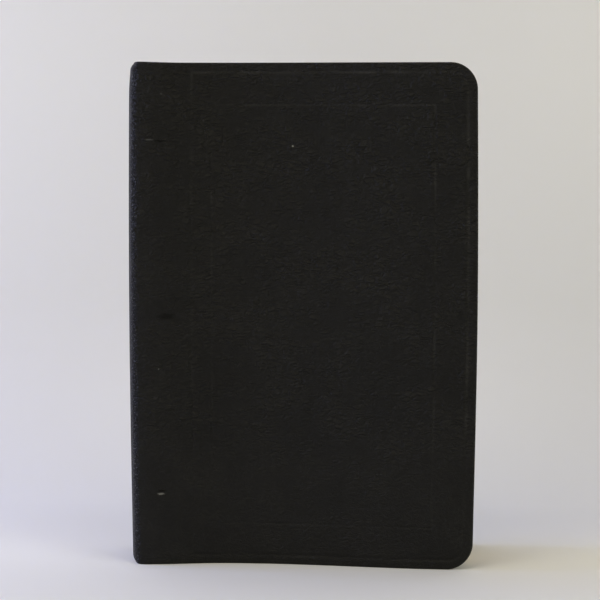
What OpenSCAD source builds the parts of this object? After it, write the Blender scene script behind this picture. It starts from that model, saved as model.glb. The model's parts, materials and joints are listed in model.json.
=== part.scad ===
// A limp leather devotional book, standing closed on its tail edge.
// Millimetres. +Z is up, the front cover faces -Y and the spine is at -X.
// The origin is at the bottom centre of the whole book.
//
// The text block is made of folded sections, gathered in four quarters, q1 at
// the front cover to q4 at the back cover. The book opens between quarters, so
// everything glued along the spine is divided at the same three lines. The
// lines lie on the outside of the spine leather, where the hide creases.

/* [Text block] */
// Width of a page, from its fold to its fore-edge
page_w = 136.5; // [130:0.5:138]
// Height of a page
page_h = 203.2; // [190:0.2:204]
// Thickness of one folded section of leaves
section_t = 1.1; // [0.9:0.05:1.3]
// Sections in each quarter of the text block
sections_per_quarter = 6; // [4:1:6]
// Radius of the rounded fore-edge corners of the leaves
page_corner_r = 8; // [4:1:12]
// Thickness of a flyleaf
flyleaf_t = 0.25; // [0.15:0.05:0.4]

/* [Cover] */
// Width of the closed book, over the spine and the fore-edge of the cover
cover_w = 144.5; // [144:0.5:150]
// Height of the cover
cover_h = 209; // [208:0.5:214]
// Radius of the cover's fore-edge corners
cover_corner_r = 11; // [6:1:16]
// Thickness of the leather
leather_t = 1.1; // [0.8:0.1:1.4]
// Thickness of the flexible card inside each cover
liner_t = 0.8; // [0.6:0.1:1.2]
// Thickness of the paper pasted down inside each cover
pastedown_t = 0.3; // [0.2:0.1:0.5]
// Width of the turned-in leather left showing round the pastedown
turn_in_w = 5; // [4:1:12]
// How far the joint stands out past the hollow of the cover
ridge_rise = 3.4; // [1:0.1:4]
// How far the fore-edge of the limp cover stands out past that hollow
flare = 8.9; // [4:0.1:12]
// Distance from the joint to the hollow of the cover
hollow_d = 35; // [24:1:40]

/* [Spine] */
// Distance from the back of the spine to the joint, where a cover swings
joint_inset = 7; // [6.5:0.5:9]
// Radius of the rounded back of the spine
spine_r = 60; // [50:1:90]
// Radius of the shoulder between the spine and a cover
shoulder_r = 3.4; // [2.5:0.1:4]
// Radius of the spine's corners at the head
head_cap_r = 3.4; // [1:0.1:5]
// Radius of the spine's corners at the tail
tail_cap_r = 2; // [1:0.1:5]
// Thickness of the card that stiffens the spine
spine_liner_t = 0.5; // [0.3:0.1:0.8]
// Diameter of the cord core of the end bands
end_band_d = 2.2; // [1.5:0.1:2.6]

/* [Sewing] */
// Width of a sewing tape, along the spine
tape_w = 10; // [8:1:14]
// Thickness of a sewing tape
tape_t = 0.3; // [0.2:0.1:0.4]
// Distance between neighbouring tapes
tape_pitch = 73.5; // [60:0.5:76]
// Length of the tape ends held inside the covers
slip_l = 12; // [8:1:20]
// Diameter of the sewing thread
thread_d = 0.3; // [0.2:0.05:0.4]

/* [Hidden] */
$fn = 96;
quarters = 4;
tapes = 3;
sections = quarters * sections_per_quarter;

// Slack between a closed cover and its flyleaf
cover_gap = 0.25;
// Thickness of the mull, the open cloth glued over the folds
mull_t = 0.25;
// Width of the mull turned over the shoulder of the text block
mull_flange_w = 3;
// Distance from the leather's outside to the folds, at the crown of the spine
fold_depth = 3.05;
// Leather that stays bare next to the joint, so that the cover can bend
joint_bare_w = 3;
// Distance from the joint to the edge of the pastedown
pastedown_start = 1;
// Distance from the joint to the line where a flyleaf is pasted on
flyleaf_start = 2;
// Thickness of leather round the edge of the card in a cover
edge_t = 1.2;
// Flat stretches that the curve of a cover is made of
curve_steps = 32;
// How far a stitch runs past each edge of its tape
stitch_past_tape = 1;
// Length of a kettle stitch and its distance from the head or tail
kettle_l = 3;
kettle_inset = 12;

leather_color = [0.07, 0.07, 0.065];
card_color = [0.55, 0.5, 0.42];
paper_color = [0.93, 0.9, 0.82];
cloth_color = [0.8, 0.76, 0.66];
thread_color = [0.95, 0.93, 0.88];

block_t = sections * section_t;
half_t = block_t / 2;
quarter_t = block_t / quarters;
page_z = (cover_h - page_h) / 2;
cover_t = leather_t + liner_t + pastedown_t;

spine_x = -cover_w / 2;
fore_x = cover_w / 2;
joint_x = spine_x + joint_inset;
cover_reach = fore_x - joint_x;
curve_step = (cover_reach - joint_bare_w) / curve_steps;
// Distances from the middle plane of the book to the outside of a cover
hollow_y = half_t + flyleaf_t + cover_gap + cover_t;
ridge_y = hollow_y + ridge_rise;

spine_cx = spine_x + spine_r;
fold_r = spine_r - fold_depth;
tape_r = fold_r + tape_t;
mull_r = tape_r + thread_d;
shoulder_cy = ridge_y - shoulder_r;
shoulder_cx = arc_x(spine_r - shoulder_r, shoulder_cy);

function two_digits(i) = str(i < 10 ? "0" : "", i);
function section_node(i) = str("section_", two_digits(i));
function quarter_node(name, q) = str(name, "_q", q);
QUARTER_NAMES = ["spine_leather", "spine_liner", "mull", "sewing_tapes", "sewing_thread", "end_bands"];

// X of a point at distance y from the middle plane, on an arc round the spine's centre
function arc_x(r, y) = spine_cx - sqrt(r * r - y * y);
// Middle plane of section i
function section_y(i) = (i - 0.5) * section_t - half_t;
// Height of the middle of tape i
function tape_z(i) = cover_h / 2 + (i - (tapes + 1) / 2) * tape_pitch;
// The two faces of quarter q; the outer quarters run on past the leather
function quarter_start(q) = q == 1 ? -2 * ridge_y : (q - 1) * quarter_t - half_t;
function quarter_end(q) = q == quarters ? 2 * ridge_y : q * quarter_t - half_t;

// How far the limp cover stands out past its hollow, at distance d from the joint
function stand_out(d) = d < hollow_d
    ? ridge_rise * (1 + cos(180 * d / hollow_d)) / 2
    : flare * (1 - cos(180 * (d - hollow_d) / (cover_reach - hollow_d))) / 2;

// The curve as straight stretches, so that every layer bends at the same places
CURVE_STOPS = concat([0], [for (i = [0 : curve_steps]) joint_bare_w + i * curve_step]);
CURVE = [for (d = CURVE_STOPS) [d, stand_out(d)]];

function curve_point(d, depth) = [joint_x + d, -(hollow_y + lookup(d, CURVE) - depth)];

// Part of the front cover's thickness in plan, between two depths below the leather's outside
module cover_band(start_d, end_d, outer_depth, inner_depth) {
    stops = concat([start_d], [for (d = CURVE_STOPS) if (d > start_d && d < end_d) d], [end_d]);
    outside = [for (d = stops) curve_point(d, outer_depth)];
    inside = [for (i = [len(stops) - 1 : -1 : 0]) curve_point(stops[i], inner_depth)];
    polygon(concat(outside, inside));
}

// What a round corner of radius r takes off a square one
module corner_cut(r) {
    difference() {
        square(r + 1);
        circle(r);
    }
}

// Side view of a leaf or a cover, with round corners, given by its edges
module panel_outline(x0, x1, z0, z1, fore_r, head_r, tail_r) {
    difference() {
        translate([x0, z0]) square([x1 - x0, z1 - z0]);
        translate([x1 - fore_r, z1 - fore_r]) corner_cut(fore_r);
        translate([x1 - fore_r, z0 + fore_r]) mirror([0, 1]) corner_cut(fore_r);
        if (head_r > 0) translate([x0 + head_r, z1 - head_r]) mirror([1, 0]) corner_cut(head_r);
        if (tail_r > 0) translate([x0 + tail_r, z0 + tail_r]) rotate(180) corner_cut(tail_r);
    }
}

// The panel outline as a block right through the book
module panel(x0, x1, z0, z1, fore_r, head_r = 0, tail_r = 0) {
    rotate([90, 0, 0])
        linear_extrude(height = 4 * (hollow_y + flare), center = true)
            panel_outline(x0, x1, z0, z1, fore_r, head_r, tail_r);
}

module book_panel() {
    panel(spine_x, fore_x, 0, cover_h, cover_corner_r, head_cap_r, tail_cap_r);
}

// The cover's outline drawn in by an inset, from a distance past the joint
module inset_panel(start_d, inset) {
    panel(joint_x + start_d, fore_x - inset, inset, cover_h - inset, cover_corner_r - inset);
}

// Plan of the spine and its shoulders, drawn in by an inset from the leather's outside.
// It runs on past the joint, where quarter_plan() cuts it off.
module spine_outline(inset) {
    tangent_y = shoulder_cy * (spine_r - inset) / (spine_r - shoulder_r);
    side_y = ridge_y - inset;
    intersection() {
        translate([spine_cx, 0]) circle(spine_r - inset);
        translate([spine_x, -tangent_y]) square([joint_inset, 2 * tangent_y]);
    }
    for (side = [-1, 1]) translate([shoulder_cx, side * shoulder_cy]) circle(shoulder_r - inset);
    translate([shoulder_cx, -side_y]) square([cover_w, 2 * side_y]);
}

// Plan of a layer that follows the back of the text block
module spine_ring(inner_r, outer_r, half_width) {
    intersection() {
        translate([spine_cx, 0]) difference() {
            circle(outer_r);
            circle(inner_r);
        }
        translate([spine_x, -half_width]) square([spine_r / 2, 2 * half_width]);
    }
}

// The part of a spine layer's plan that belongs to quarter q
module quarter_plan(q) {
    intersection() {
        children();
        translate([spine_x - 1, quarter_start(q)])
            square([joint_inset + 1, quarter_end(q) - quarter_start(q)]);
    }
}

// --- Covers, drawn for the front; the back ones are their mirror images ---

module cover_leather() {
    color(leather_color) difference() {
        intersection() {
            linear_extrude(cover_h) {
                cover_band(0, cover_reach, 0, leather_t);
                cover_band(joint_bare_w, cover_reach, leather_t, cover_t);
            }
            book_panel();
        }
        intersection() {
            linear_extrude(cover_h)
                cover_band(joint_bare_w, cover_reach, leather_t, leather_t + liner_t);
            inset_panel(joint_bare_w, edge_t);
        }
        intersection() {
            linear_extrude(cover_h)
                cover_band(joint_bare_w, cover_reach, leather_t + liner_t, cover_t + 1);
            inset_panel(joint_bare_w, turn_in_w);
        }
    }
}

// Room for the three tape ends on the outer side of a liner
module slip_blocks() {
    for (i = [1 : tapes])
        translate([joint_x, -2 * ridge_y, tape_z(i) - tape_w / 2])
            cube([joint_bare_w + slip_l, 2 * ridge_y, tape_w]);
}

module slip_layer() {
    intersection() {
        linear_extrude(cover_h)
            cover_band(joint_bare_w, joint_bare_w + slip_l, leather_t, leather_t + tape_t);
        slip_blocks();
    }
}

module cover_liner() {
    color(card_color) difference() {
        intersection() {
            linear_extrude(cover_h)
                cover_band(joint_bare_w, cover_reach, leather_t, leather_t + liner_t);
            inset_panel(joint_bare_w, edge_t);
        }
        slip_layer();
    }
}

module tape_slips() {
    color(cloth_color) slip_layer();
}

module pastedown() {
    color(paper_color) intersection() {
        linear_extrude(cover_h)
            cover_band(pastedown_start, cover_reach, leather_t + liner_t, cover_t);
        inset_panel(pastedown_start, turn_in_w);
    }
}

module flyleaf() {
    leaf_fore_x = arc_x(fold_r, section_y(1)) + page_w;
    color(paper_color) intersection() {
        translate([joint_x + flyleaf_start, -half_t - flyleaf_t, 0])
            cube([cover_w, flyleaf_t, cover_h]);
        panel(joint_x, leaf_fore_x, page_z, page_z + page_h, page_corner_r);
    }
}

// --- Layers of the spine, one piece of each in every quarter ---

module spine_leather(q) {
    color(leather_color) intersection() {
        linear_extrude(cover_h) quarter_plan(q) difference() {
            spine_outline(0);
            spine_outline(leather_t);
        }
        book_panel();
    }
}

module spine_liner(q) {
    color(card_color) translate([0, 0, page_z]) linear_extrude(page_h) quarter_plan(q)
        spine_ring(spine_r - leather_t - spine_liner_t, spine_r - leather_t, half_t);
}

module mull(q) {
    color(cloth_color) translate([0, 0, 2 * page_z]) linear_extrude(cover_h - 4 * page_z) quarter_plan(q) {
        spine_ring(mull_r, mull_r + mull_t, half_t);
        for (side = [-1, 1])
            translate([arc_x(mull_r + mull_t, half_t), side * (half_t + mull_t / 2) - mull_t / 2])
                square([mull_flange_w, mull_t]);
    }
}

module sewing_tapes(q) {
    color(cloth_color) for (i = [1 : tapes])
        translate([0, 0, tape_z(i) - tape_w / 2]) linear_extrude(tape_w)
            quarter_plan(q) spine_ring(fold_r, tape_r, half_t);
}

// One straight stitch of thread behind the fold of section i
module stitch(i, r, middle_z, length) {
    y = section_y(i);
    translate([arc_x(r, y), y, middle_z]) cylinder(h = length, d = thread_d, center = true);
}

module sewing_thread(q) {
    first = (q - 1) * sections_per_quarter + 1;
    color(thread_color) for (i = [first : q * sections_per_quarter]) {
        for (t = [1 : tapes])
            stitch(i, tape_r + thread_d / 2, tape_z(t), tape_w + 2 * stitch_past_tape);
        for (side = [-1, 1])
            stitch(i, fold_r + thread_d / 2, cover_h / 2 + side * (page_h / 2 - kettle_inset), kettle_l);
    }
}

// The worked bands at the head and the tail, laid across the folds
module end_bands(q) {
    band_r = end_band_d / 2;
    color(thread_color) for (side = [-1, 1])
        intersection() {
            translate([spine_cx, 0, cover_h / 2 + side * (page_h / 2 + band_r)])
                rotate_extrude() translate([fold_r - band_r, 0]) circle(band_r);
            linear_extrude(cover_h) quarter_plan(q)
                translate([spine_x, -half_t]) square([spine_r / 2, block_t]);
        }
}

// --- Text block ---

// Folded section i: its round fold touches the back's curve, its fore-edge corners are round too
module section(i) {
    y = section_y(i);
    fold_x = arc_x(fold_r - section_t / 2, y);
    leaf_fore_x = arc_x(fold_r, y) + page_w;
    color(paper_color) intersection() {
        linear_extrude(cover_h) {
            translate([fold_x, y]) circle(d = section_t);
            translate([fold_x, y - section_t / 2]) square([page_w, section_t]);
        }
        panel(spine_x, leaf_fore_x, page_z, page_z + page_h, page_corner_r);
    }
}

module back() {
    mirror([0, 1, 0]) children();
}

cover_leather();  // front_cover_leather
cover_liner();  // front_liner
tape_slips();  // front_tape_slips
pastedown();  // front_pastedown
flyleaf();  // front_flyleaf
back() cover_leather();  // back_cover_leather
back() cover_liner();  // back_liner
back() tape_slips();  // back_tape_slips
back() pastedown();  // back_pastedown
back() flyleaf();  // back_flyleaf
for (q = [1 : quarters]) {
    spine_leather(q);
    spine_liner(q);
    mull(q);
    sewing_tapes(q);
    sewing_thread(q);
    end_bands(q);
}
for (i = [1 : sections])
    section(i);
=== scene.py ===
"""Looks of a limp leather devotional book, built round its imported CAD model.

Lengths are in metres. A place on the hide is given by "at", the distance in
plan from the crown of the spine, positive round to the front cover and
negative round to the back cover, and by z, the height.
"""
import json
import math

import bmesh
import bpy
import numpy as np
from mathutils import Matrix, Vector


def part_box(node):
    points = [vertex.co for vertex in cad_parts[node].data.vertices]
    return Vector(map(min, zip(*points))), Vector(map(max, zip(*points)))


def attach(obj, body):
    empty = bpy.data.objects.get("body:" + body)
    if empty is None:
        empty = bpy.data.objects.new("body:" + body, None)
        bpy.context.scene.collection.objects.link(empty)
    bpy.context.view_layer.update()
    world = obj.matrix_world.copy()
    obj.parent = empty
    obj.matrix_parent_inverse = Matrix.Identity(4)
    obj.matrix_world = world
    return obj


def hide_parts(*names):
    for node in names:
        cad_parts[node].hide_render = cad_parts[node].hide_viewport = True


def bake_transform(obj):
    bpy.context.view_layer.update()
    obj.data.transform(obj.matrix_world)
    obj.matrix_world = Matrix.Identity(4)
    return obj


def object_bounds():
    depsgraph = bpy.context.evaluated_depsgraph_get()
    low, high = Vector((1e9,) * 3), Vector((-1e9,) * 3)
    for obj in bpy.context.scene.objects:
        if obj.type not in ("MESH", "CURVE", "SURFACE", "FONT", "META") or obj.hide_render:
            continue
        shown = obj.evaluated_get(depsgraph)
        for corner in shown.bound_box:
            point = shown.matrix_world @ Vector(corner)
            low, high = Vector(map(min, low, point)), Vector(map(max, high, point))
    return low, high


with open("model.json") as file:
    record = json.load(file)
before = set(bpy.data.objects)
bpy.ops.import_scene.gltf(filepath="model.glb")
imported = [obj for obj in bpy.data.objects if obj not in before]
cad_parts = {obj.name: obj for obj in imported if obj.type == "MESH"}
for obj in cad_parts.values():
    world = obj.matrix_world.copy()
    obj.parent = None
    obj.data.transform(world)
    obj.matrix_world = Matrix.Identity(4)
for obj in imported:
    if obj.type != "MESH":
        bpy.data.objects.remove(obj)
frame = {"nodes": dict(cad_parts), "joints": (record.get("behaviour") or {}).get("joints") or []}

MM = 0.001
cad_low, cad_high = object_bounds()
pivots = {joint["name"]: Vector(joint["pos_m"]) for joint in frame["joints"]}

# --- Sizes of the book, from the frame ---
HEIGHT = cad_high.z
SPINE_X = cad_low.x
FORE_X = cad_high.x
JOINT_X = pivots["front_cover_hinge"].x
RIDGE_Y = -pivots["front_cover_hinge"].y
COVER_REACH = FORE_X - JOINT_X
QUARTER_T = -pivots["front_quarter_opening"].y
QUARTERS = 4
HALF_T = QUARTER_T * QUARTERS / 2
SECTION_T = QUARTER_T * QUARTERS / sum("section_" in node for node in frame["nodes"])
CREASE_RISE = pivots["front_quarter_opening"].x - SPINE_X
SPINE_R = (CREASE_RISE**2 + QUARTER_T**2) / (2 * CREASE_RISE)
SPINE_CX = SPINE_X + SPINE_R

# --- Sizes of the leather ---
LEATHER_T = 1.1 * MM
COVER_T = 2.2 * MM          # leather, card and turned-in leather together
TURN_IN_T = 0.3 * MM        # the turned-in leather is pared thin
TURN_IN_W = 5 * MM
TURN_IN_GAP = 0.05 * MM     # between the layers at the spine's head and tail
EDGE_R = COVER_T / 2
CORNER_R = 11 * MM
SHOULDER_R = 3.4 * MM
HEAD_CAP_R = 3.4 * MM
TAIL_CAP_R = 2 * MM
HOLLOW_D = 35 * MM
HOLLOW_Y = COVER_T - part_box("front_pastedown")[1].y
RIDGE_RISE = RIDGE_Y - HOLLOW_Y
FLARE = -cad_low.y - HOLLOW_Y
DOUBLE_START = 1.5 * MM     # past the joint, where the single leather begins to double
DOUBLE_RUN = 2 * MM
BOW = 0.85 * MM             # how far the spine and fore-edge bow out half way up
BOW_BACK = 0.42 * MM        # how far they draw in at the head and tail
TAIL_DRAW = 0.55 * MM       # how far the fore-edge draws in besides, towards the tail
TAIL_DRAW_RUN = 0.6 * HEIGHT        # from the tail up
HEAD_DRAW = 0.6 * MM        # how far the spine draws in besides, at the head
HEAD_DRAW_RUN = 13 * MM     # from the head down
HEAD_DIP = 0.4 * MM         # how far the head edge drops past the joint
HEAD_DIP_LEAD = 4 * MM      # where the drop begins, before the joint
HEAD_DIP_RUN = 20 * MM
HEAD_DIP_Z = 0.8 * HEIGHT   # only rows above this height take part

# --- The hide's line in plan: spine arc, shoulder, joint, cover ---
SHOULDER_CY = RIDGE_Y - SHOULDER_R
SHOULDER_TURN = math.asin(SHOULDER_CY / (SPINE_R - SHOULDER_R))
SHOULDER_CX = SPINE_CX - (SPINE_R - SHOULDER_R) * math.cos(SHOULDER_TURN)
ARC_END = SPINE_R * SHOULDER_TURN
SHOULDER_END = ARC_END + SHOULDER_R * (math.pi / 2 - SHOULDER_TURN)
JOINT_AT = SHOULDER_END + JOINT_X - SHOULDER_CX
FORE_AT = JOINT_AT + COVER_REACH


def smooth(x):
    """0 below x = 0 and 1 above x = 1, with a smooth rise between."""
    x = np.clip(x, 0, 1)
    return x * x * (3 - 2 * x)


def stand_out(d):
    """How far a limp cover stands out past its hollow, at distance d from the joint."""
    near = RIDGE_RISE * (1 + np.cos(np.pi * d / HOLLOW_D)) / 2
    far = FLARE * (1 - np.cos(np.pi * (d - HOLLOW_D) / (COVER_REACH - HOLLOW_D))) / 2
    return np.where(d < HOLLOW_D, near, far)


def bowed(x, z):
    """x with the slight outward bow of a limp cover's spine and fore-edge, half way up."""
    bow = BOW * np.sin(np.pi * z / HEIGHT) - BOW_BACK
    drawn = np.where(x > 0, TAIL_DRAW * smooth(1 - z / TAIL_DRAW_RUN), 0)
    drawn = np.where(x < 0, HEAD_DRAW * smooth((z - HEIGHT) / HEAD_DRAW_RUN + 1), drawn)
    return x + (bow - drawn) * x / FORE_X


def dipped(z, at):
    """z with the head edge a little lower past the joint, where the hide isn't held up."""
    along = smooth((np.abs(at) - JOINT_AT + HEAD_DIP_LEAD) / HEAD_DIP_RUN)
    upward = smooth((z - HEAD_DIP_Z) / (HEIGHT - HEAD_DIP_Z))
    return z - HEAD_DIP * along * upward


def in_plan(at, depth):
    """x and y of a place on the hide, at a depth below its outside."""
    side = np.where(at < 0, 1.0, -1.0)
    a = np.abs(at)
    turn = np.clip(a / SPINE_R, 0, SHOULDER_TURN)
    turn = turn + np.clip((a - ARC_END) / SHOULDER_R, 0, math.pi / 2 - SHOULDER_TURN)
    spine = (SPINE_CX - (SPINE_R - depth) * np.cos(turn), (SPINE_R - depth) * np.sin(turn))
    shoulder = (
        SHOULDER_CX - (SHOULDER_R - depth) * np.cos(turn),
        SHOULDER_CY + (SHOULDER_R - depth) * np.sin(turn),
    )
    flat_x = SHOULDER_CX + a - SHOULDER_END
    flat_y = np.where(a < JOINT_AT, RIDGE_Y, HOLLOW_Y + stand_out(a - JOINT_AT)) - depth
    on_spine, on_shoulder = a < ARC_END, a < SHOULDER_END
    x = np.where(on_spine, spine[0], np.where(on_shoulder, shoulder[0], flat_x))
    y = np.where(on_spine, spine[1], np.where(on_shoulder, shoulder[1], flat_y))
    return x, side * y


def doubled(at):
    """0 where the leather is single, at the spine and joint, to 1 where it wraps a cover."""
    return smooth((np.abs(at) - JOINT_AT - DOUBLE_START) / DOUBLE_RUN)


def full_thickness(at):
    """Thickness at the head and tail edges, where the leather is turned in."""
    single = LEATHER_T + TURN_IN_T + TURN_IN_GAP
    return single + (COVER_T - single) * doubled(at)


def cap_depth(at, z):
    """How far the spine leather curls in over the ends of the text block."""
    radius = np.where(z > HEIGHT / 2, HEAD_CAP_R, TAIL_CAP_R)
    past = np.clip(np.abs(z - HEIGHT / 2) - (HEIGHT / 2 - radius), 0, radius)
    fade = 1 - smooth((np.abs(at) - ARC_END) / (JOINT_AT - ARC_END))
    return fade * (radius - np.sqrt(radius**2 - past**2))


# Slow waves of the cover, as (run along the hide, run up it, start), in millimetres and radians
WAVES = [(19, 31, 0.4), (11, -27, 2.1), (43, 17, 1.2)]
WAVE_H = 0.05 * MM
WAVE_RUN = 20 * MM          # past the joint, where the waves reach their full height


def waviness(at, z):
    """Slow unevenness of a limp cover that has been handled."""
    wave = sum(np.sin(at / MM / along + z / MM / up + start) for along, up, start in WAVES)
    return WAVE_H * wave * smooth((np.abs(at) - JOINT_AT) / WAVE_RUN)


# --- Blind tooling and marks, as relief on the outside of a cover ---
# Frames of tooled lines: left edge from the joint, inset from the other edges
OUTER_FRAME = {"left": 20.3 * MM, "inset": 4.0 * MM, "half_w": 1.0 * MM, "deep": 0.3 * MM}
INNER_FRAME = {"left": 28.5 * MM, "inset": 17.4 * MM, "half_w": 0.7 * MM, "deep": 0.22 * MM}
LIP_AT = 1.5                # where the leather is raised beside a line, in half widths
LIP_W = 0.45
LIP_H = 0.22                # its height, as a share of the line's depth
WEAR = 0.25                 # how much of a line's depth comes and goes
WEAR_WAVES = (9 * MM, 13 * MM)      # how quickly it does, along the hide and up it
SQUARE_CORNER_R = 0.3 * MM
ROUND_CORNER_R = 0.5 * MM   # the least that a frame's corners have at the fore-edge
TAPE_W = 10 * MM
SLIPS_LOW, SLIPS_HIGH = [corner.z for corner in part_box("front_tape_slips")]
TAPE_Z = np.linspace(SLIPS_LOW + TAPE_W / 2, SLIPS_HIGH - TAPE_W / 2, 3)
SLIP_END = 15 * MM          # from the joint to the end of a tape
SLIP_BULGE = 0.1 * MM
SLIP_MARGIN = 1 * MM        # the bulge fades from this far inside a tape's edges
SLIP_END_FADE = 3 * MM
SLIP_SIDE_FADE = 2.5 * MM
# Marks where the tapes pull at the front joint, from the tail up, as (from the joint, past the
# middle of its tape, half width, steepness above and below, rise)
TAPE_MARKS = [
    (7.4 * MM, -0.8 * MM, 1.7 * MM, 0.4 * MM, 0.7 * MM, -0.35 * MM),
    (8.8 * MM, -1.8 * MM, 4 * MM, 3 * MM, 0.6 * MM, 0.3 * MM),
    (3.6 * MM, -0.5 * MM, 2.6 * MM, 0.6 * MM, 0.6 * MM, 0.3 * MM),
]


def line_distance(d, z, line):
    """Distance to a tooled frame: square corners by the joint, round ones at the fore-edge."""
    low_d, high_d = line["left"], COVER_REACH - line["inset"]
    low_z, high_z = line["inset"], HEIGHT - line["inset"]
    middle_d, middle_z = (low_d + high_d) / 2, (low_z + high_z) / 2
    fore_radius = max(CORNER_R - line["inset"], ROUND_CORNER_R)
    radius = np.where(d > middle_d, fore_radius, SQUARE_CORNER_R)
    past_d = np.abs(d - middle_d) - (high_d - low_d) / 2 + radius
    past_z = np.abs(z - middle_z) - (high_z - low_z) / 2 + radius
    outside = np.hypot(np.clip(past_d, 0, None), np.clip(past_z, 0, None))
    return np.abs(outside + np.minimum(np.maximum(past_d, past_z), 0) - radius)


def tooled_line(d, z, line):
    """A pressed line, with the leather a little raised on both sides of it."""
    across = line_distance(d, z, line) / line["half_w"]
    groove = np.where(across < 1, (1 + np.cos(np.pi * across)) / 2, 0)
    lip = np.exp(-(((across - LIP_AT) / LIP_W) ** 2))
    left = 1 - WEAR + WEAR * np.sin(d / WEAR_WAVES[0] + z / WEAR_WAVES[1])
    return line["deep"] * left * (LIP_H * lip - groove)


def mark(d, z, middle_d, middle_z, half_w, above, below, rise):
    """A short bump or dent with its own steepness above and below."""
    high = np.where(z > middle_z, above, below)
    return rise * np.exp(-(((d - middle_d) / half_w) ** 2) - ((z - middle_z) / high) ** 2)


def slip_bulges(d, z):
    """The ends of the sewing tapes, just showing through the leather."""
    def within(away, half, fade):
        return 1 - smooth((np.abs(away) - half + SLIP_MARGIN) / fade)

    across = within(d - SLIP_END / 2, SLIP_END / 2, SLIP_END_FADE)
    along = sum(within(z - tape, TAPE_W / 2, SLIP_SIDE_FADE) for tape in TAPE_Z)
    return SLIP_BULGE * across * along


def front_marks(d, z):
    """Three small marks where the tapes pull at the front joint."""
    return sum(
        mark(d, z, middle, tape + past, *shape)
        for tape, (middle, past, *shape) in zip(TAPE_Z, TAPE_MARKS)
    )


def no_marks(d, z):
    """The back cover hasn't been seen, so it has none."""
    return 0 * d


LINE_FADE_RUN = 12 * MM          # past the inner frame's left edge, where the lines' shine and painted highlight are whole
LINE_FADE_HEAD = 12 * MM         # from the head down to where the lines' shine and painted highlight begin to fade
LINE_FADE_EDGE = 5 * MM
LINE_FADE_SHARE = 0.7


def line_highlight_share(d, z):
    """How much of the tooled lines' shine and painted highlight shows: less of it by the joint, below the
    head.
    """
    by_joint = 1 - smooth((d - INNER_FRAME["left"]) / LINE_FADE_RUN)
    below_head = smooth((HEIGHT - LINE_FADE_HEAD - z) / LINE_FADE_EDGE)
    grooves = [-tooled_line(d, z, line) / line["deep"] for line in (OUTER_FRAME, INNER_FRAME)]
    kept = 1 - LINE_FADE_SHARE * by_joint * below_head
    return np.where(d > 0, np.clip(sum(grooves), 0, 1) * kept, 0)


def cover_relief(at, z, marks):
    """How far the tooling and marks stand out from the hide; grooves count below 0."""
    d = np.abs(at) - JOINT_AT
    relief = tooled_line(d, z, OUTER_FRAME) + tooled_line(d, z, INNER_FRAME)
    relief = relief + slip_bulges(d, z) + marks(d, z)
    return np.where(d > 0, relief, 0)


# --- Meshes of the leather ---
def spaced(stops):
    """Places from (start, step) pairs; the last pair is (end, None)."""
    places = []
    for (start, step), (end, _) in zip(stops, stops[1:]):
        count = max(1, round((end - start) / step))
        places.extend(np.linspace(start, end, count, endpoint=False))
    return np.array(places + [stops[-1][0]])


SHARP_DEGREES = 50          # faces that meet at more than this keep a sharp edge


def make_object(name, vertices, faces, material):
    """A smooth-shaded object with its faces turned outward."""
    mesh = bpy.data.meshes.new(name)
    mesh.from_pydata([tuple(v) for v in vertices], [], faces)
    shell = bmesh.new()
    shell.from_mesh(mesh)
    bmesh.ops.recalc_face_normals(shell, faces=shell.faces)
    shell.to_mesh(mesh)
    shell.free()
    mesh.shade_smooth()
    mesh.set_sharp_from_angle(angle=math.radians(SHARP_DEGREES))
    mesh.materials.append(material)
    piece = bpy.data.objects.new(name, mesh)
    bpy.context.scene.collection.objects.link(piece)
    return piece


def store(piece, attribute, values):
    """Keeps a vector for each vertex, for the material to read."""
    layer = piece.data.attributes.new(attribute, "FLOAT_VECTOR", "POINT")
    layer.data.foreach_set("vector", np.asarray(values, np.float32).ravel())


def store_number(piece, attribute, values):
    """Keeps a number for each vertex, for the material to read."""
    layer = piece.data.attributes.new(attribute, "FLOAT", "POINT")
    layer.data.foreach_set("value", np.asarray(values, np.float32))


CORNER_STEPS = 52           # mesh rows round a corner
CORNER_EDGE_R = CORNER_R - EDGE_R
SQUEEZE_AT = FORE_AT - CORNER_R - 4 * MM    # columns past this follow the round corners
NARROW = 0.15 * MM          # mesh step at a seam
FINE = 0.3 * MM             # across tooled lines
SHOULDER_STEP = 0.45 * MM   # round the shoulder, across the joint and over the marks
PLAIN_STEP = 1 * MM         # by the round corners
MARK_SPAN = (3.6 * MM, 1.5 * MM)    # fine rows below and above the middle of each tape


def row_heights():
    """Heights of the mesh rows on a cover, closer where there is relief to show."""
    turns = np.linspace(math.pi / 2, 0, CORNER_STEPS, endpoint=False)
    corner = CORNER_R - CORNER_EDGE_R * np.sin(turns)
    inner = INNER_FRAME["inset"]
    top = HEIGHT - inner
    near = 1.6 * MM
    stops = [(CORNER_R, PLAIN_STEP), (inner - near, FINE), (inner + near, 1.6 * MM)]
    for z in TAPE_Z:
        stops += [(z - MARK_SPAN[0], SHOULDER_STEP), (z + MARK_SPAN[1], 1.8 * MM)]
    stops += [(top - near, FINE), (top + near, PLAIN_STEP), (HEIGHT - CORNER_R, None)]
    return np.concatenate([corner, spaced(stops), HEIGHT - corner[::-1]])


def cover_columns(seam_at):
    """Places of the mesh columns of a cover, from its seam on the spine to the fore-edge."""
    def fine_round(d, half, then):
        return [(JOINT_AT + d - half, FINE), (JOINT_AT + d + half, then)]

    inner_d = COVER_REACH - INNER_FRAME["inset"]
    stops = [(seam_at, NARROW), (seam_at + NARROW, 1.2 * MM), (ARC_END, SHOULDER_STEP)]
    stops += [(JOINT_AT + 4 * MM, 0.8 * MM), (JOINT_AT + 14 * MM, 1.5 * MM)]
    stops += fine_round(OUTER_FRAME["left"], 1.8 * MM, 1.2 * MM)
    stops += fine_round(INNER_FRAME["left"], 1.5 * MM, 2 * MM)
    stops += fine_round(inner_d, 1.5 * MM, 0.8 * MM)
    stops += [(SQUEEZE_AT, FINE), (FORE_AT - EDGE_R, None)]
    return spaced(stops)


ROWS = row_heights()
RING_STEPS = 8              # mesh steps half round an edge
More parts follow.
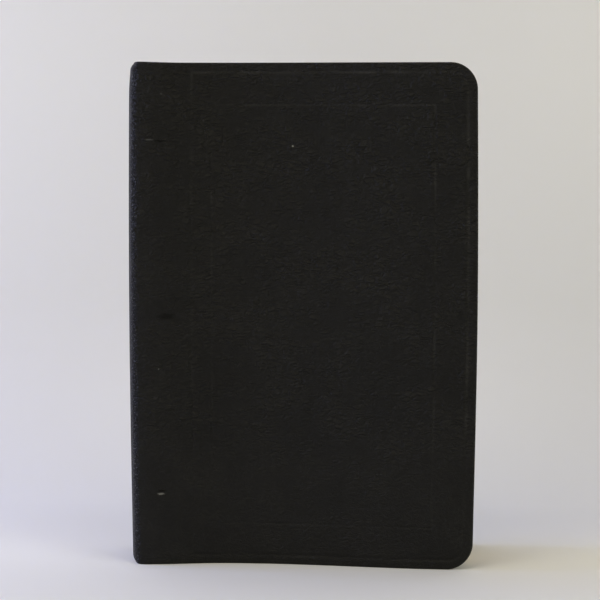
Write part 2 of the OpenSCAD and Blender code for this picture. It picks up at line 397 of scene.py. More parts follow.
# The turned-in leather, as (inset from the edge, share of the way from its inner face to
# its pared underside); None stands for the underside of the outer layer
TURN_IN = [
    (2.5 * MM, 0),
    (3.8 * MM, 0),
    (4.7 * MM, 0),
    (TURN_IN_W, 0.5),
    (TURN_IN_W, 1),
    (1.6 * MM, 1),
    (1.4 * MM, None),
]


def outer_places(columns, with_corners):
    """Places of the outer mesh as (at, z) arrays, columns by rows."""
    at = np.repeat(columns[:, None], len(ROWS), 1)
    half = full_thickness(at) / 2
    z = HEIGHT / 2 + (ROWS[None, :] - HEIGHT / 2) * (HEIGHT / 2 - half) / (HEIGHT / 2 - EDGE_R)
    if with_corners:
        past = np.clip(np.abs(ROWS - HEIGHT / 2) - (HEIGHT / 2 - CORNER_R), 0, CORNER_EDGE_R)
        reach = FORE_AT - CORNER_R + np.sqrt(CORNER_EDGE_R**2 - past**2)
        share = (reach - SQUEEZE_AT) / (FORE_AT - EDGE_R - SQUEEZE_AT)
        at = np.where(at > SQUEEZE_AT, SQUEEZE_AT + (at - SQUEEZE_AT) * share[None, :], at)
    return at, z


def edge_loops(columns, with_corners):
    """The grid indices along each free edge, with the outward direction at every one."""
    last_column, last_row = len(columns) - 1, len(ROWS) - 1
    head = [(i, last_row, 0.0, 1.0) for i in range(last_column + 1)]
    tail = [(i, 0, 0.0, -1.0) for i in range(last_column, -1, -1)]
    if not with_corners:
        return [head, tail]
    fore = []
    for j in range(last_row - 1, 0, -1):
        past = abs(ROWS[j] - HEIGHT / 2) - (HEIGHT / 2 - CORNER_R)
        up = min(max(past, 0) / CORNER_EDGE_R, 1) * math.copysign(1, ROWS[j] - HEIGHT / 2)
        fore.append((last_column, j, math.sqrt(1 - up * up), up))
    return [head + fore + tail]


def edge_profile(at):
    """Outward bulge and depth of each step round the edge and along the turned-in leather."""
    full = full_thickness(at)
    half = full / 2
    steps = []
    for k in range(1, RING_STEPS + 1):
        turn = math.pi * k / RING_STEPS
        steps.append((half * math.sin(turn), half * (1 - math.cos(turn))))
    for inset, share in TURN_IN:
        depth = LEATHER_T if share is None else full - share * TURN_IN_T
        steps.append((half - inset, depth))
    return steps


def inner_rows():
    """Rows of the leather's underside, which needs fewer of them than the outside."""
    margin, end_rows, end_step, middle_step = 3 * MM, 48, 6, 30
    rows = [j for j, z in enumerate(ROWS) if margin < z < HEIGHT - margin]
    middle = rows[end_rows:-end_rows:middle_step]
    return rows[:end_rows:end_step] + middle + rows[-end_rows::end_step]


class Shell:
    """The points and faces of one closed piece of leather, gathered as it is built."""

    def __init__(self, columns, relief, with_corners):
        self.columns = columns
        self.with_corners = with_corners
        self.at, self.z = outer_places(columns, with_corners)
        self.base = cap_depth(self.at, self.z) - waviness(self.at, self.z)
        depth = self.base - relief(self.at, self.z)
        self.grid = np.arange(self.at.size).reshape(self.at.shape)
        self.places = list(zip(self.at.ravel(), self.z.ravel(), depth.ravel()))
        corners = [self.grid[:-1, :-1], self.grid[1:, :-1], self.grid[1:, 1:], self.grid[:-1, 1:]]
        self.faces = [tuple(face) for face in np.stack(corners, -1).reshape(-1, 4).tolist()]
        self.last_row = len(ROWS) - 1
        self.turn_edges()
        self.add_underside()
        self.close_seams()

    def add(self, i, j, depth, out=0.0, up=0.0):
        """Adds a point beside place i, j of the grid, at a depth below the unpressed outside."""
        self.places.append((self.at[i, j] + out, self.z[i, j] + up, self.base[i, j] + depth))
        return len(self.places) - 1

    def bridge(self, first, second):
        """Faces between two rows that have the same number of points."""
        for k in range(len(first) - 1):
            self.faces.append((first[k], first[k + 1], second[k + 1], second[k]))

    def turn_edges(self):
        """Rounds the free edges and turns the leather in; turned holds each place's points."""
        self.turned = {}
        for loop in edge_loops(self.columns, self.with_corners):
            rings = [[int(self.grid[i, j]) for i, j, _, _ in loop]]
            profiles = [edge_profile(self.at[i, j]) for i, j, _, _ in loop]
            for steps in zip(*profiles):
                ring = [
                    self.add(i, j, depth, out * bulge, up * bulge)
                    for (i, j, out, up), (bulge, depth) in zip(loop, steps)
                ]
                self.bridge(rings[-1], ring)
                rings.append(ring)
            for (i, j, _, _), points in zip(loop, zip(*rings[1:])):
                self.turned[i, j] = list(points)

    def add_underside(self):
        """The flesh side, which stops at the squeezed columns where the piece has corners."""
        last_column = len(self.columns) - 1
        end = last_column
        if self.with_corners:
            end = int(np.argmin(np.abs(self.columns - SQUEEZE_AT)))
        chosen = inner_rows()
        self.levels = [0] + chosen + [self.last_row]
        self.under = {}
        for i in range(end + 1):
            for j in chosen:
                self.under[i, j] = self.add(i, j, LEATHER_T)
            for j in (0, self.last_row):
                self.under[i, j] = self.turned[i, j][-1]
        for i in range(end):
            low, high = [[self.under[column, j] for j in self.levels] for column in (i, i + 1)]
            self.bridge(low, high)
        if self.with_corners:
            rim = [self.turned[i, self.last_row][-1] for i in range(end, last_column + 1)]
            rim += [self.turned[last_column, j][-1] for j in range(self.last_row - 1, 0, -1)]
            rim += [self.turned[i, 0][-1] for i in range(last_column, end - 1, -1)]
            self.faces.append(tuple(rim + [self.under[end, j] for j in chosen]))

    def close_seams(self):
        """Flat ends at the seams, where the next piece of leather begins."""
        for i in (0,) if self.with_corners else (0, len(self.columns) - 1):
            for low, high in zip(self.levels, self.levels[1:]):
                side = [int(self.grid[i, j]) for j in range(low, high + 1)]
                if high == self.last_row:
                    side += self.turned[i, high][:-1]
                tail_end = self.turned[i, 0][-2::-1] if low == 0 else []
                self.faces.append(tuple(side + [self.under[i, high], self.under[i, low]] + tail_end))


def hide_piece(name, columns, relief, material, with_corners=False, back=False):
    """One closed piece of leather between two seams, or from a seam round a cover's edges."""
    shell = Shell(columns, relief, with_corners)
    places = np.array(shell.places, float)
    if back:
        places[:, 0] *= -1
    x, y = in_plan(places[:, 0], places[:, 2])
    x = bowed(x, places[:, 1])
    z = dipped(places[:, 1], places[:, 0])
    piece = make_object(name, np.stack([x, y, z], 1), shell.faces, material)
    store(piece, "place", places)
    store_number(piece, "pressed", line_highlight_share(np.abs(places[:, 0]) - JOINT_AT, places[:, 1]))
    return piece


# --- Materials ---
class Surface:
    """A node-based material, with a short way to add nodes and join them."""

    def __init__(self, name):
        self.material = bpy.data.materials.new(name)
        self.material.use_nodes = True
        self.tree = self.material.node_tree
        self.shader = self.tree.nodes["Principled BSDF"]

    def set(self, socket, value):
        """Sets one of the shader's sockets to a number, a colour or another node's output."""
        self.join(self.shader.inputs[socket], value)

    def join(self, socket, value):
        """Links another node's output to a socket, or sets it to a value."""
        if isinstance(value, bpy.types.NodeSocket):
            self.tree.links.new(value, socket)
        else:
            socket.default_value = value

    def add(self, kind, inputs=None, output=0, **settings):
        """Adds a node, sets it up and gives one of its outputs."""
        made = self.tree.nodes.new("ShaderNode" + kind)
        for key, value in settings.items():
            setattr(made, key, value)
        for key, value in (inputs or {}).items():
            self.join(made.inputs[key], value)
        return made.outputs[output]

    def math(self, operation, a, b=0.5):
        """A sum on one or two numbers."""
        return self.add("Math", {0: a, 1: b}, operation=operation)

    def vector(self, operation, a, b):
        """A sum on two vectors."""
        return self.add("VectorMath", {0: a, 1: b}, operation=operation)

    def ramp(self, value, low, high, to_low=0.0, to_high=1.0):
        """Maps low..high smoothly to to_low..to_high."""
        inputs = {"Value": value, "From Min": low, "From Max": high, "To Min": to_low, "To Max": to_high}
        return self.add("MapRange", inputs, interpolation_type="SMOOTHSTEP")

    def mix(self, share, a, b):
        """A colour from a, at share 0, to b, at share 1."""
        inputs = {0: share, 6: a, 7: b}     # the colour sockets, which share their names
        return self.add("Mix", inputs, output=2, data_type="RGBA")

    def noise(self, place, scale, detail=3.0, rough=0.5, output=0):
        """Cloudy noise around 0.5; the output "Color" has one of its own for each axis."""
        inputs = {"Vector": place, "Scale": scale, "Detail": detail, "Roughness": rough}
        return self.add("TexNoise", inputs, output=output)

    def bump(self, height, distance, strength=1.0):
        """A normal tilted by the slope of a height, where 1 stands for the distance."""
        return self.add("Bump", {"Height": height, "Distance": distance, "Strength": strength})

    def part(self, vector, axis):
        """One part of a vector, 0 to 2 for X to Z."""
        return self.add("SeparateXYZ", {0: vector}, output=axis)

    def cell_edges(self, place):
        """Distance from the nearest edge of a pattern of cells about 1 across."""
        return self.add("TexVoronoi", {"Vector": place, "Scale": 1.0}, feature="DISTANCE_TO_EDGE")


# Spots on the front cover, as (from the joint, height, half width, half height, strength),
# in millimetres. The pale ones are painted into the colour: by the tape marks at 30 and 177 mm up they
# are painted highlights on the marks' lit sides, elsewhere plain pale specks. The dark ones cut the
# shine, a painted shade by the marks.
PALE_SPOTS_AND_HIGHLIGHTS = [
    (8.1, 196.1, 0.7, 0.5, 0.12),
    (62.1, 174.6, 0.5, 0.5, 0.8),
    (6.8, 82.4, 0.4, 0.4, 0.35),
    (7.1, 30.0, 1.7, 0.55, 0.55),
    (3.2, 177.2, 2.1, 0.35, 0.2),
]
# Dark spots by the tape marks: a painted shade, made by cutting the shine there.
SHADE_SPOTS = [
    (7.4, 31.3, 1.9, 0.5, 0.8),
    (7.2, 176.7, 2.8, 0.55, 0.7),
    (10.2, 104.4, 4.6, 1.7, 0.5),
]
PALE_SPOT_COLOUR = (0.3, 0.3, 0.28, 1)


# Wrinkles and pebbles in a millimetre along the hide, up it and through it
WRINKLES = (0.27, 0.62, 0.3)
WRINKLE_SLANT = math.radians(-45)
PEBBLES = (0.95, 0.95, 0.95)


def leather_grain(s, mm, patches, lively, turned):
    """Height of the grain: wrinkles, some of them slanted, pebbles and pores."""
    warp = s.vector("SUBTRACT", s.noise(mm, 0.3, 2, output="Color"), (0.5, 0.5, 0.5))
    bent = s.vector("ADD", mm, s.vector("MULTIPLY", warp, (5.0, 3.0, 0)))
    level = s.vector("MULTIPLY", bent, WRINKLES)
    turned_round = {"Vector": bent, "Rotation": (0, 0, WRINKLE_SLANT), "Scale": WRINKLES}
    slanted = s.add("Mapping", turned_round)
    strength = s.ramp(s.noise(mm, 0.13, 2, 0.5), 0.36, 0.62, 0.15, 1.0)
    wrinkles = s.math("MULTIPLY", s.ramp(s.cell_edges(level), 0.02, 0.3), strength)
    crossing = s.ramp(s.cell_edges(slanted), 0.02, 0.28)
    crossing = s.math("MULTIPLY", crossing, s.ramp(patches, 0.44, 0.58, 0.0, 0.9))
    grain = s.math("MULTIPLY", s.math("ADD", wrinkles, crossing), lively)
    pebbles = s.ramp(s.cell_edges(s.vector("MULTIPLY", bent, PEBBLES)), 0.0, 0.3)
    rough = s.math("ADD", 0.3, s.math("MULTIPLY", turned, 1.5))
    grain = s.math("ADD", grain, s.math("MULTIPLY", pebbles, rough))
    pores = s.noise(mm, 2.6, 2, 0.6)
    return s.math("ADD", grain, s.math("MULTIPLY", pores, 0.35))


def line_shine_and_painted_highlight(s, mm, height, lively):
    """Shine and painted highlight of the tooled lines, patchy in places but not by the head."""
    pressed = s.add("Attribute", attribute_name="pressed", output="Fac")
    left = s.ramp(s.noise(mm, 0.06, 2, 0.6), 0.42, 0.6, 0.1, 1.0)
    left = s.math("MAXIMUM", left, s.ramp(height, 0.88, 0.91, 0.0, 0.55))
    return s.math("MULTIPLY", s.math("MULTIPLY", pressed, lively), left)


def shoulder_flecks(s, mm, round_the_spine, turned):
    """What the shine is multiplied by on the shoulder, where rubbed specks stand out."""
    shoulder = s.ramp(round_the_spine, ARC_END / MM - 3, ARC_END / MM, 0.08, 1.0)
    flecks = s.ramp(s.noise(mm, 1.3, 2, 0.6), 0.57, 0.64, -0.3, 4.5)
    flecks = s.math("MULTIPLY", flecks, s.math("MULTIPLY", shoulder, turned))
    return s.math("ADD", 1.0, flecks)


def spot_masks(s, mm, spots):
    """How much of each ragged spot shows at a place."""
    ragged = s.math("MULTIPLY", s.noise(mm, 1.6, 2), 0.9)
    masks = []
    for d, z, half_w, half_h, strength in spots:
        away = s.vector("SUBTRACT", mm, (JOINT_AT / MM + d, z, 0))
        away = s.vector("MULTIPLY", away, (1 / half_w, 1 / half_h, 0))
        away = s.add("VectorMath", {0: away}, output="Value", operation="LENGTH")
        near = s.ramp(s.math("ADD", away, ragged), 1.5, 0.85)
        masks.append(s.math("MULTIPLY", near, strength))
    return masks


def leather_material():
    """Near-black grained leather, calmer towards the tail, with a few pale specks, and painted highlights
    and painted shade by the tape marks.
    """
    s = Surface("black_grained_leather")
    place = s.add("Attribute", attribute_name="place", output="Vector")
    mm = s.vector("MULTIPLY", place, (1000, 1000, 1000))
    height = s.math("DIVIDE", s.part(mm, 1), HEIGHT / MM)
    lively = s.math("ADD", s.ramp(height, 0.12, 0.35, 0.35, 1.0), s.ramp(height, 0.5, 0.85, 0.0, 0.3))
    round_the_spine = s.math("ABSOLUTE", s.part(mm, 0))
    turned = s.ramp(round_the_spine, SHOULDER_END / MM, SHOULDER_END / MM - 2)
    patches = s.noise(mm, 0.045, 3, 0.55)
    grain = leather_grain(s, mm, patches, lively, turned)
    line_shine_and_highlight = line_shine_and_painted_highlight(s, mm, height, lively)
    s.set("Normal", s.bump(grain, 0.38 * MM))

    tone = s.math("ADD", s.math("MULTIPLY", patches, 0.4), s.math("MULTIPLY", grain, 0.45))
    tone = s.math("ADD", tone, s.ramp(lively, 0.35, 1.0, 0.16, 0.0))
    # The tooled lines are painted lighter in colour here, a painted highlight, besides their real shine
    # below.
    tone = s.math("ADD", s.ramp(tone, 0.2, 1.15), s.math("MULTIPLY", line_shine_and_highlight, 0.7))
    colour = s.mix(tone, (0.0024, 0.0022, 0.0017, 1), (0.0094, 0.0088, 0.0069, 1))
    # Pale spots painted into the colour; those by the tape marks are painted highlights.
    for pale in spot_masks(s, mm, PALE_SPOTS_AND_HIGHLIGHTS):
        colour = s.mix(pale, colour, PALE_SPOT_COLOUR)
    s.set("Base Color", colour)

    shine = s.math("ADD", 0.22, s.math("MULTIPLY", line_shine_and_highlight, 0.14))
    shine = s.math("MULTIPLY", shine, shoulder_flecks(s, mm, round_the_spine, turned))
    # The shine is cut on the dark spots, a painted shade by the tape marks.
    for dark in spot_masks(s, mm, SHADE_SPOTS):
        shine = s.math("MULTIPLY", shine, s.math("SUBTRACT", 1.0, dark))
    s.set("Specular IOR Level", shine)

    worn = s.math("SUBTRACT", patches, s.math("MULTIPLY", grain, 0.3))
    matt = s.math("MULTIPLY", turned, 0.08)
    s.set("Roughness", s.math("ADD", s.ramp(worn, 0.0, 0.8, 0.56, 0.4), matt))
    return s.material


def endpaper_material():
    """Black paper pasted down inside the covers, with a faint laid texture."""
    s = Surface("black_endpaper")
    place = s.add("TexCoord", output="Object")
    mm = s.vector("MULTIPLY", place, (1000, 1000, 1000))
    fibre = s.noise(s.vector("MULTIPLY", mm, (1.0, 1.0, 0.35)), 3.0, 4, 0.6)
    cloud = s.noise(mm, 0.06, 3)
    tone = s.math("ADD", s.math("MULTIPLY", fibre, 0.5), s.math("MULTIPLY", cloud, 0.5))
    s.set("Base Color", s.mix(s.ramp(tone, 0.3, 0.7), (0.012, 0.012, 0.013, 1), (0.022, 0.021, 0.021, 1)))
    s.set("Roughness", s.ramp(fibre, 0.2, 0.8, 0.62, 0.8))
    s.set("Normal", s.bump(fibre, 0.04 * MM, 0.6))
    return s.material


def page_material(name, gilded):
    """Thin bible paper: gilt where the leaves are cut, plain on the pages and the folds."""
    s = Surface(name)
    place = s.add("TexCoord", output="Object")
    mm = s.vector("MULTIPLY", place, (1000, 1000, 1000))
    fibre = s.noise(mm, 2.5, 4, 0.6)
    paper = s.mix(s.ramp(fibre, 0.3, 0.7), (0.74, 0.69, 0.57, 1), (0.8, 0.755, 0.645, 1))
    if not gilded:
        s.set("Base Color", paper)
        s.set("Roughness", s.ramp(fibre, 0.2, 0.8, 0.8, 0.9))
        s.set("Normal", s.bump(fibre, 0.02 * MM, 0.7))
        return s.material

    normal = s.add("TexCoord", output="Normal")
    fore_edge = s.part(normal, 0)
    ends = s.part(normal, 2)
    gilt = s.ramp(s.math("MAXIMUM", fore_edge, s.math("ABSOLUTE", ends)), 0.45, 0.6)
    leaves = s.noise(s.vector("MULTIPLY", mm, (0.015, 7.0, 0.015)), 1.0, 3, 0.7)
    smear = s.noise(s.vector("MULTIPLY", mm, (0.05, 0.4, 0.05)), 1.0, 3)
    # Painted shade: towards the gaps between the sections the gilt is darkened towards brown.
    through = s.part(mm, 1)
    turn = s.math("ABSOLUTE", s.math("SINE", s.math("MULTIPLY", through, math.pi * MM / SECTION_T)))
    between = s.ramp(turn, 0.05, 0.3, 0.55, 1.0)
    gold = s.mix(s.ramp(leaves, 0.3, 0.7), (0.52, 0.35, 0.12, 1), (0.83, 0.6, 0.26, 1))
    gold = s.mix(s.ramp(smear, 0.5, 0.8, 0.0, 0.25), gold, (0.62, 0.5, 0.3, 1))
    gold = s.mix(between, (0.2, 0.13, 0.05, 1), gold)
    s.set("Base Color", s.mix(gilt, paper, gold))
    s.set("Metallic", s.math("MULTIPLY", gilt, 0.92))
    s.set("Roughness", s.mix(gilt, (0.85, 0.85, 0.85, 1), s.ramp(leaves, 0.3, 0.8, 0.26, 0.42)))
    edges = s.math("MULTIPLY", s.math("ADD", leaves, between), gilt)
    height = s.math("ADD", edges, s.math("MULTIPLY", fibre, 0.15))
    s.set("Normal", s.bump(height, 0.06 * MM, 0.7))
    return s.material


def woven_material(name, light, dark, pitch, openness):
    """Plain weave seen along the spine, its colour darker where the yarns dip, a painted shade; openness
    leaves dark holes between the yarns, also painted shade.
    """
    s = Surface(name)
    place = s.add("TexCoord", output="Object")
    turns = s.vector("MULTIPLY", place, (2 * math.pi / pitch,) * 3)
    y = s.part(turns, 1)
    z = s.part(turns, 2)
    warp = s.math("ABSOLUTE", s.math("SINE", y))
    weft = s.math("ABSOLUTE", s.math("SINE", z))
    yarn = s.math("MAXIMUM", warp, weft)
    fuzz = s.noise(place, 2500, 3)
    height = s.math("ADD", yarn, s.math("MULTIPLY", fuzz, 0.3))
    # Painted shade: the colour darkens with the yarns' height, down into the gaps between them.
    s.set("Base Color", s.mix(s.ramp(height, openness, 1.1), (*dark, 1), (*light, 1)))
    s.set("Roughness", s.ramp(fuzz, 0.3, 0.7, 0.8, 0.92))
    s.set("Normal", s.bump(height, 0.1 * MM, 0.8))
    return s.material


def card_material():
    """Flecked grey card."""
    s = Surface("grey_card")
    place = s.add("TexCoord", output="Object")
    flecks = s.noise(place, 900, 4, 0.65)
    s.set("Base Color", s.mix(s.ramp(flecks, 0.3, 0.7), (0.2, 0.17, 0.13, 1), (0.33, 0.29, 0.23, 1)))
    s.set("Roughness", s.ramp(flecks, 0.3, 0.7, 0.8, 0.9))
    s.set("Normal", s.bump(flecks, 0.08 * MM, 0.6))
    return s.material


SILK_W = 0.55 * MM          # one thread of an end band


def silk_material(name, first, second):
    """Worked bands: threads of two colours by turns, each with a soft sheen."""
    s = Surface(name)
    place = s.add("TexCoord", output="Object")
    y = s.part(place, 1)
    turn = s.math("SINE", s.math("MULTIPLY", y, 2 * math.pi / (4 * SILK_W)))
    twist = s.noise(s.vector("MULTIPLY", place, (3000, 9000, 3000)), 1.0, 2)
    plain = s.mix(s.ramp(turn, -0.05, 0.05), (*first, 1), (*second, 1))
    s.set("Base Color", s.mix(s.ramp(twist, 0.2, 0.8, 0.0, 0.35), plain, (0.05, 0.04, 0.03, 1)))
    s.set("Roughness", s.ramp(twist, 0.2, 0.8, 0.35, 0.6))
    s.set("Normal", s.bump(twist, 0.05 * MM, 0.5))
    s.set("Sheen Weight", 0.3)
    return s.material


leather = leather_material()
endpaper = endpaper_material()
page = page_material("gilt_edged_paper", True)
plain_paper = page_material("plain_paper", False)
card = card_material()
mull_cloth = woven_material("open_mull", (0.72, 0.68, 0.58), (0.2, 0.17, 0.12), 0.9 * MM, 0.35)
linen_tape = woven_material("linen_tape", (0.75, 0.7, 0.6), (0.45, 0.4, 0.32), 0.5 * MM, 0.1)
cotton_thread = woven_material("cotton_thread", (0.85, 0.82, 0.74), (0.5, 0.46, 0.4), 0.4 * MM, 0.1)
silk = silk_material("silk_bands", (0.6, 0.56, 0.46), (0.03, 0.03, 0.032))

CAD_LOOKS = {
    "liner": card,
    "tape_slips": linen_tape,
    "sewing_tapes": linen_tape,
    "mull": mull_cloth,
    "sewing_thread": cotton_thread,
    "pastedown": endpaper,
    "flyleaf": endpaper,
    "section": page,
    "end_bands": silk,
    "spine_leather": leather,
    "cover_leather": leather,
}


def look_of(node):
    """The material of a CAD node, by a word in its name."""
    return next(look for word, look in CAD_LOOKS.items() if word in node)


for node, cad_object in frame["nodes"].items():
    cad_object.data.materials.clear()
    cad_object.data.materials.append(look_of(node))

# --- The leather, in pieces that each cross one joint ---
SEAM_OUTER = 12 * MM        # seams of the spine leather, from the crown of the spine
SEAM_INNER = QUARTER_T / 2


def spine_columns(low, high):
    """Places of the mesh columns of a piece of the spine, from seam to seam."""
    return spaced([(low, NARROW), (low + NARROW, 0.6 * MM), (high - NARROW, NARROW), (high, None)])


def no_relief(at, z):
    """The spine is plain."""
    return 0 * at


def cover_leather(side, marks):
    """A cover's leather with half the joint and shoulder."""
    back = side == "back"
    columns = cover_columns(SEAM_OUTER)
    name = side + "_cover_hide"
    piece = hide_piece(name, columns, lambda at, z: cover_relief(at, z, marks), leather, True, back)
    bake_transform(piece)
    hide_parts(side + "_cover_leather", "spine_leather_q4" if back else "spine_leather_q1")
    return piece


def spine_leather(name, low, high, nodes, back=False):
    """A piece of the spine's leather across a place where the text block opens."""
    piece = hide_piece(name, spine_columns(low, high), no_relief, leather, back=back)
    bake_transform(piece)
    if nodes:
        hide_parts(*nodes)
    return piece


cover_leather("front", front_marks)
cover_leather("back", no_marks)
spine_leather(
    "spine_hide_front", SEAM_INNER, SEAM_OUTER, []
)
spine_leather(
    "spine_hide_middle", -SEAM_INNER, SEAM_INNER,
    ["spine_leather_q2", "spine_leather_q3"],
)
spine_leather(
    "spine_hide_back", SEAM_INNER, SEAM_OUTER, [], back=True
)

# --- Folded sheets that cross a joint ---
def sheet_strip(name, path, thickness, low_z, high_z, material):
    """An upright strip of paper along a path in plan, thickened to the path's left."""
    path = np.array(path, float)
    run = np.gradient(path, axis=0)
    run /= np.linalg.norm(run, axis=1)[:, None]
    left = path + thickness * np.stack([-run[:, 1], run[:, 0]], 1)
    count = len(path)
    vertices = [(x, y, z) for z in (low_z, high_z) for side in (path, left) for x, y in side]
    faces = []
    for k in range(count - 1):
        near, far, above = k, count + k, 2 * count
        faces.append((near, near + 1, near + 1 + above, near + above))
        faces.append((far, far + 1, far + 1 + above, far + above))
        faces.append((near, near + 1, far + 1, far))
        faces.append((near + above, near + 1 + above, far + 1 + above, far + above))
    for k in (0, count - 1):
        faces.append((k, count + k, 3 * count + k, 2 * count + k))
    return make_object(name, vertices, faces, material)


HINGE_T = 0.3 * MM          # as thick as a pastedown
# The endpaper's fold, as (past the joint, below the outside of the cover), in millimetres
HINGE_PATH = [(3, 2.25), (0.9, 2.1), (0, 1.6), (-0.9, 1.9), (-1.2, 2.6), (-0.5, 4.3), (2, 5.9)]
HINGE_STEPS = 5             # mesh steps between two points of the path


def rounded(path):
    """A smooth curve through the points of a path, at each one parallel to its neighbours' chord."""
    points = np.array([path[0], *path, path[-1]], float)
    curve = []
    for before, start, end, after in zip(points, points[1:], points[2:], points[3:]):
        leaving, arriving = (end - before) / 2, (after - start) / 2
        for t in np.linspace(0, 1, HINGE_STEPS, endpoint=False):
            near = (1 - t) ** 2 * ((1 + 2 * t) * start + t * leaving)
            far = t**2 * ((3 - 2 * t) * end - (1 - t) * arriving)
            curve.append(near + far)
    return curve + [points[-1]]


def endpaper_hinge(side):
    """The fold that joins a pastedown to its flyleaf."""
    out = 1 if side == "back" else -1
    path = [(JOINT_X + d * MM, out * (RIDGE_Y - depth * MM)) for d, depth in rounded(HINGE_PATH)]
    if side == "front":
        path.reverse()
    low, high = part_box(side + "_pastedown")
    piece = sheet_strip(side + "_endpaper_fold", path, HINGE_T, low.z, high.z, endpaper)
    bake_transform(piece)


GUTTER_FLAP = 7 * MM        # from the opening's axis to the flap's free edge
GUTTER_TURN = 3.75 * MM     # from the axis to where the flaps part
GUTTER_DEEP = 2.3 * MM      # from the axis to the bottom of the fold
GUTTER_GAP = 0.03 * MM      # half the gap between the flaps
GUTTER_T = 0.02 * MM        # thickness of the paper
GUTTER_STEPS = 12           # mesh steps round the bottom of the fold


def gutter(number, joint):
    """The folded paper seen between two sections where the book opens."""
    axis = pivots[joint]
    across = np.linspace(-1, 1, GUTTER_STEPS + 1)
    path = [(axis.x + GUTTER_FLAP, axis.y - GUTTER_GAP)]
    for share in across:
        reach = GUTTER_TURN - (GUTTER_TURN - GUTTER_DEEP) * (1 - abs(share)) ** 2
        path.append((axis.x + reach, axis.y + GUTTER_GAP * share))
    path.append((axis.x + GUTTER_FLAP, axis.y + GUTTER_GAP))
    low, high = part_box("section_12")
    piece = sheet_strip(f"gutter_{number}", path, -GUTTER_T, low.z, high.z, plain_paper)
    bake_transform(piece)


endpaper_hinge("front")
endpaper_hinge("back")
gutter(1, "front_quarter_opening")
gutter(2, "middle_opening")
gutter(3, "back_quarter_opening")

# --- Head and tail bands, wound with thread ---
THREAD_STEPS = 5            # mesh rings for each thread of a band
THREAD_DEEP = 0.14          # depth of the groove between threads, of the band's radius
BAND_SIDES = 16             # mesh sides round a band


def wound_band(low_y, high_y, height, radius, arc_r, vertices, faces):
    """Adds one band, along the curve of the folds from low_y to high_y, ridged by its threads."""
    angles = (math.asin(low_y / arc_r), math.asin(high_y / arc_r))
    rings = round((high_y - low_y) / SILK_W) * THREAD_STEPS
    first = len(vertices)
    for k, turn in enumerate(np.linspace(*angles, rings + 1)):
        bulge = radius * (1 - THREAD_DEEP + THREAD_DEEP * abs(math.sin(math.pi * k / THREAD_STEPS)))
        for side in range(BAND_SIDES):
            spin = 2 * math.pi * side / BAND_SIDES
            reach = arc_r + bulge * math.cos(spin)
            z = height + bulge * math.sin(spin)
            vertices.append((SPINE_CX - reach * math.cos(turn), reach * math.sin(turn), z))
    for k in range(rings):
        ring = first + k * BAND_SIDES
        for side in range(BAND_SIDES):
            here, beside = ring + side, ring + (side + 1) % BAND_SIDES
            faces.append((here, beside, beside + BAND_SIDES, here + BAND_SIDES))
    faces.append(tuple(first + side for side in range(BAND_SIDES)))
    faces.append(tuple(first + rings * BAND_SIDES + side for side in range(BAND_SIDES)))


def end_bands(quarter):
    """The head and tail bands of one quarter, in place of the plain CAD ones."""
    node = f"end_bands_q{quarter}"
    low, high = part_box(node)
    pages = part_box("section_12")
    radius = (pages[0].z - low.z) / 2
    arc_r = SPINE_CX - pages[0].x - radius
    low_y = (quarter - 1) * QUARTER_T - HALF_T
    high_y = low_y + QUARTER_T
    vertices, faces = [], []
    for height in (pages[0].z - radius, pages[1].z + radius):
        wound_band(low_y, high_y, height, radius, arc_r, vertices, faces)
    piece = make_object(f"wound_bands_q{quarter}", vertices, faces, silk)
    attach(piece, f"leaves_q{quarter}")
    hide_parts(node)


for quarter in range(1, QUARTERS + 1):
    end_bands(quarter)

# --- Floor, wall, lights and camera ---
FLOOR_W = 6.0
FLOOR_FRONT = -3.0
SWEEP_START = 0.11          # where the floor begins to sweep up, behind the book
SWEEP_R = 0.09
SWEEP_STEPS = 16            # mesh steps up the sweep
WALL_H = 1.8


def wall_material():
    """Pale paint, clear when it is seen from behind."""
    s = Surface("pale_wall")
    place = s.add("TexCoord", output="Object")
    cloud = s.noise(place, 3.0, 2)
    s.set("Base Color", s.mix(cloud, (0.86, 0.855, 0.855, 1), (0.885, 0.88, 0.88, 1)))
    s.set("Roughness", 0.8)
    from_behind = s.add("NewGeometry", output="Backfacing")
    clear = s.add("BsdfTransparent")
    one_sided = s.add("MixShader", {0: from_behind, 1: s.shader.outputs[0], 2: clear})
    s.tree.links.new(one_sided, s.tree.nodes["Material Output"].inputs[0])
    return s.material


def make_stage():
    """A pale floor that sweeps up into a wall close behind the book, clear from behind."""
    turns = np.linspace(0, math.pi / 2, SWEEP_STEPS + 1)
    line = [(FLOOR_FRONT, 0.0)]
    line += [(SWEEP_START + SWEEP_R * math.sin(t), SWEEP_R * (1 - math.cos(t))) for t in turns]
    line.append((SWEEP_START + SWEEP_R, WALL_H))
    vertices = [(x, y, z) for y, z in line for x in (-FLOOR_W / 2, FLOOR_W / 2)]
    faces = [(2 * k, 2 * k + 1, 2 * k + 3, 2 * k + 2) for k in range(len(line) - 1)]
    mesh = bpy.data.meshes.new("floor_and_wall")
    mesh.from_pydata(vertices, [], faces)
    mesh.shade_smooth()
    mesh.materials.append(wall_material())
    stage = bpy.data.objects.new("floor_and_wall", mesh)
    bpy.context.scene.collection.objects.link(stage)


# Lights, as (name, place, aim, width and height, watts, colour)
LIGHTS = [
    ("window", (-0.9, 0.12, 0.35), (0, 0.05, 0.1), (0.5, 0.6), 8.2, (0.42, 0.5, 1.0)),
    ("ceiling", (0.0, -0.7, 1.5), (0, 0, 0.1), (1.4, 0.8), 6.4, (1.0, 0.92, 0.79)),
    ("doorway", (-1.2, -0.9, 0.7), (0, 0, 0.1), (1.0, 1.0), 9.2, (1.0, 0.95, 0.79)),
    ("room", (1.3, -0.9, 0.7), (0, 0, 0.1), (1.0, 1.0), 8.3, (1.0, 1.0, 0.82)),
]


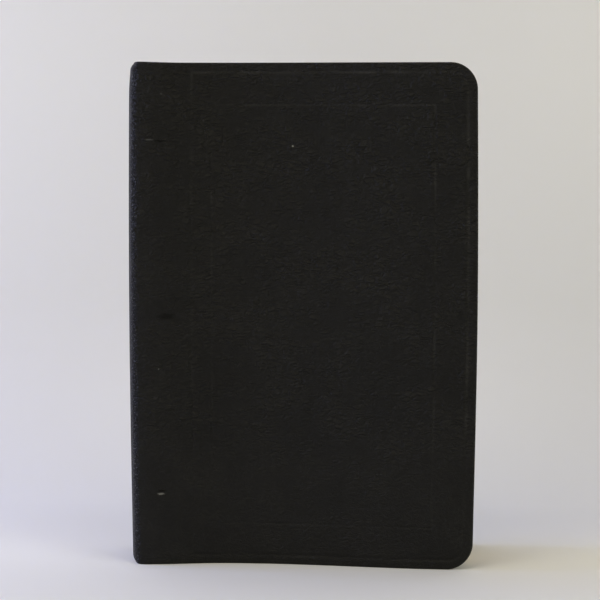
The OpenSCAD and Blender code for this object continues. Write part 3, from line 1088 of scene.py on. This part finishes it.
def make_light(name, place, aim, size, watts, colour):
    """A soft rectangular light at a place, turned to an aim."""
    light = bpy.data.lights.new(name, "AREA")
    light.shape = "RECTANGLE"
    light.size, light.size_y = size
    light.energy = watts
    light.color = colour
    lamp = bpy.data.objects.new(name, light)
    lamp.location = place
    lamp.rotation_euler = (Vector(aim) - Vector(place)).to_track_quat("-Z", "Y").to_euler()
    bpy.context.scene.collection.objects.link(lamp)


WORLD_COLOUR = (0.62, 0.61, 0.6, 1)
WORLD_LIGHT = 0.015         # of the brightness that the camera sees past the floor


def make_world():
    """Hardly any light from all round, but a pale backdrop past the floor's edges."""
    world = bpy.data.worlds.new("soft_room")
    world.use_nodes = True
    tree = world.node_tree
    glow = tree.nodes["Background"]
    glow.inputs["Color"].default_value = WORLD_COLOUR
    seen = tree.nodes.new("ShaderNodeLightPath").outputs["Is Camera Ray"]
    strength = tree.nodes.new("ShaderNodeMapRange")
    strength.inputs["To Min"].default_value = WORLD_LIGHT
    tree.links.new(seen, strength.inputs["Value"])
    tree.links.new(strength.outputs[0], glow.inputs["Strength"])
    bpy.context.scene.world = world


CAMERA_AZIMUTH = math.radians(2)
CAMERA_PITCH = math.radians(5.54)
CAMERA_DISTANCE = 0.81
CAMERA_HEIGHT = 0.19
CAMERA_SIDE = -0.15 * MM    # sideways from the middle of the book
LENS_MM = 118.6
SENSOR_MM = 36


def make_camera():
    """Level with the head of the book, looking a little down and a little from the fore-edge."""
    data = bpy.data.cameras.new("camera")
    data.lens = LENS_MM
    data.sensor_width = SENSOR_MM
    camera = bpy.data.objects.new("camera", data)
    camera.location = (
        CAMERA_SIDE + CAMERA_DISTANCE * math.sin(CAMERA_AZIMUTH),
        -RIDGE_Y - CAMERA_DISTANCE * math.cos(CAMERA_AZIMUTH),
        CAMERA_HEIGHT,
    )
    camera.rotation_euler = (math.pi / 2 - CAMERA_PITCH, 0, CAMERA_AZIMUTH)
    bpy.context.scene.collection.objects.link(camera)
    bpy.context.scene.camera = camera


make_stage()
make_world()
for light_settings in LIGHTS:
    make_light(*light_settings)
make_camera()
bpy.context.scene.view_settings.view_transform = "Standard"
